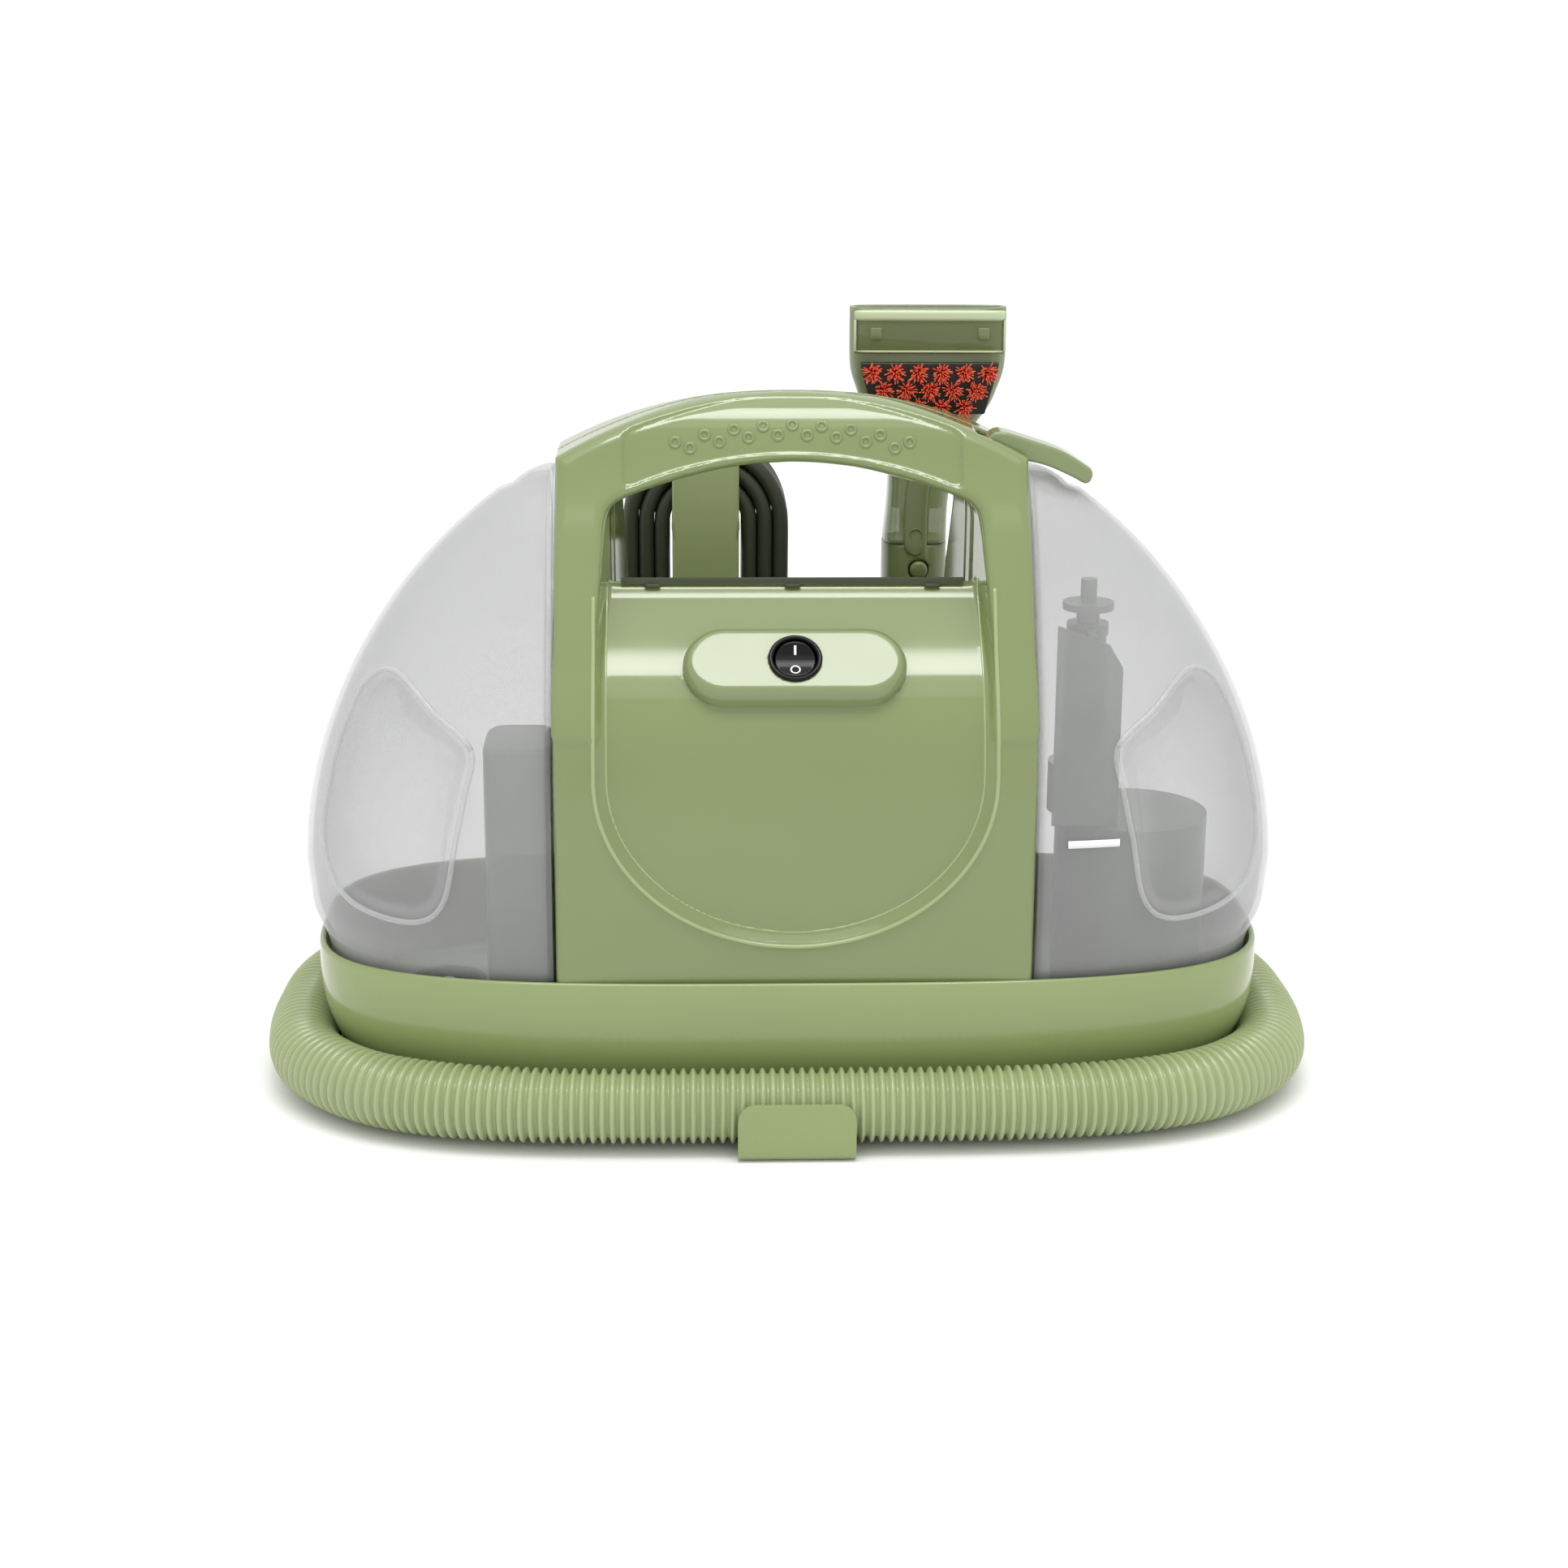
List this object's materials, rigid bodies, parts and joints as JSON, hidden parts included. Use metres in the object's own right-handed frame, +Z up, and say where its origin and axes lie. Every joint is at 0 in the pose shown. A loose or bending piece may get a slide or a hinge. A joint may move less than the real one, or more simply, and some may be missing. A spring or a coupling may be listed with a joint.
{
  "type": "portable carpet cleaner",
  "caption": "Portable carpet and upholstery cleaner with arched carry handle, clear side tanks, corrugated hose round the base, brush tool and wound mains cord.",
  "frame": {"origin": "centre of the base's footprint on the floor", "axes": "+X right, +Y back, +Z up; the switch and the panel face -Y"},
  "size_m": [0.4538, 0.2542, 0.3195],
  "materials": {
    "body_green": "glossy moulded plastic",
    "base_green": "glossy moulded plastic",
    "switch_plate_pale": "glossy moulded plastic",
    "switch_black": "glossy black",
    "dark_plastic": "moulded, matt",
    "wrap_green": "moulded plastic",
    "rubber_black": "matt",
    "cord_green": "soft flexible jacket",
    "screw_steel": "plain steel",
    "plug_brass": "bright pins",
    "stator_iron": "laminations and copper wire",
    "light_alloy": "stamped",
    "tube_clear": "clear flexible tube",
    "tank_clear": "smoked clear plastic",
    "float_white": "moulded",
    "hose_green": "corrugated flexible plastic",
    "tool_clear": "tinted clear plastic",
    "bristle_red": "nylon tufts"
  },
  "bodies": {
    "main": {"base_tub": "base_green", "base_plate": "dark_plastic", "rubber_feet": "rubber_black", "base_screws": "screw_steel", "front_hose_clip": "base_green", "rear_hose_clip": "base_green", "front_shell": "body_green", "rear_shell": "body_green", "shell_screws": "screw_steel", "switch_plate": "switch_plate_pale", "switch_bezel": "switch_black", "switch_body": "switch_black", "exhaust_grille": "dark_plastic", "fan_housing": "dark_plastic", "motor_housing": "dark_plastic", "motor_stator": "stator_iron", "vacuum_duct": "dark_plastic", "pump_body": "dark_plastic", "pump_spring": "screw_steel", "supply_tube": "tube_clear", "spray_tube": "tube_clear", "formula_port_seal": "rubber_black", "recovery_port_seal": "rubber_black", "latch_pin": "screw_steel", "hose_port_elbow": "dark_plastic", "hose": "hose_green", "hose_cuff_machine": "rubber_black", "hose_cuff_wand": "rubber_black", "wand_front": "body_green", "wand_rear": "body_green", "spray_valve": "float_white", "wand_holder": "dark_plastic", "spray_tip": "dark_plastic", "cord_wrap": "wrap_green", "strain_relief": "rubber_black", "cord_lead": "cord_green", "power_cord_coil": "cord_green", "plug_body": "cord_green", "plug_pins": "plug_brass"},
    "rocker": {"switch_rocker": "switch_black"},
    "formula_tank": {"formula_tank": "tank_clear"},
    "fill_cap": {"fill_cap": "dark_plastic"},
    "cap_valve": {"cap_valve": "screw_steel"},
    "recovery_tank": {"recovery_tank": "tank_clear", "recovery_stack": "tank_clear", "tank_baffle": "tank_clear"},
    "float": {"tank_float": "float_white"},
    "drain_plug": {"drain_plug": "dark_plastic"},
    "latch": {"tank_latch": "body_green"},
    "tool": {"tool_nozzle": "tool_clear", "tool_window": "tool_clear", "brush_plate": "dark_plastic", "bristles": "bristle_red"},
    "trigger": {"wand_trigger": "dark_plastic"},
    "lock_button": {"lock_button": "dark_plastic"},
    "rotor": {"motor_armature": "stator_iron", "motor_shaft": "screw_steel", "fan_impeller": "light_alloy"},
    "plunger": {"pump_plunger": "screw_steel"},
    "cord_hook": {"cord_hook": "wrap_green"}
  },
  "joints": [
    {"name": "switch_rocker_turn", "type": "hinge", "parent": "main", "child": "rocker", "pos_m": [0, -0.06386, 0.19466], "axis": [1, 0, 0], "range_deg": [-14, 0]},
    {"name": "formula_tank_lift", "type": "slide", "parent": "main", "child": "formula_tank", "axis": [0, 0, 1], "range_m": [0, 0.12]},
    {"name": "fill_cap_turn", "type": "hinge", "parent": "formula_tank", "child": "fill_cap", "pos_m": [-0.15, 0, 0.03], "axis": [0, 0, 1], "range_deg": [0, 90]},
    {"name": "cap_valve_lift", "type": "slide", "parent": "fill_cap", "child": "cap_valve", "axis": [0, 0, 1], "range_m": [0, 0.004]},
    {"name": "recovery_tank_lift", "type": "slide", "parent": "main", "child": "recovery_tank", "axis": [0, 0, 1], "range_m": [0, 0.04]},
    {"name": "tank_float_rise", "type": "slide", "parent": "recovery_tank", "child": "float", "axis": [0, 0, 1], "range_m": [0, 0.05]},
    {"name": "drain_plug_turn", "type": "hinge", "parent": "recovery_tank", "child": "drain_plug", "pos_m": [0.15, -0.048, 0.03], "axis": [0, 0, 1], "range_deg": [0, 90]},
    {"name": "tank_latch_turn", "type": "hinge", "parent": "main", "child": "latch", "pos_m": [0.086, -0.008, 0.271], "axis": [0, -1, 0], "range_deg": [0, 111]},
    {"name": "tool_pull_off", "type": "slide", "parent": "main", "child": "tool", "axis": [0, 0, 1], "range_m": [0, 0.03]},
    {"name": "wand_trigger_pull", "type": "hinge", "parent": "main", "child": "trigger", "pos_m": [0.06, 0.1045, 0.164], "axis": [1, 0, 0], "range_deg": [0, 6], "stiffness_Nm_per_rad": 0.4, "springref_deg": -5.73},
    {"name": "lock_button_press", "type": "slide", "parent": "main", "child": "lock_button", "axis": [0, 1, 0], "range_m": [0, 0.0025], "stiffness_N_per_m": 300, "springref_m": -0.0004},
    {"name": "fan_spin", "type": "hinge", "parent": "main", "child": "rotor", "pos_m": [-0.035, -0.005, 0.06], "axis": [0, 0, 1], "continuous": true},
    {"name": "pump_stroke", "type": "slide", "parent": "main", "child": "plunger", "axis": [0, 0, 1], "range_m": [0, 0.006], "stiffness_N_per_m": 200, "springref_m": -0.002, "deforming": ["pump_spring"]},
    {"name": "cord_hook_turn", "type": "hinge", "parent": "main", "child": "cord_hook", "pos_m": [-0.0354, 0.112, 0.224], "axis": [0, 1, 0], "range_deg": [0, 180]}
  ],
  "couplings": [
    {"joint": "tank_latch_turn", "follows": "recovery_tank_lift", "rad_per_m": 47.997}
  ]
}
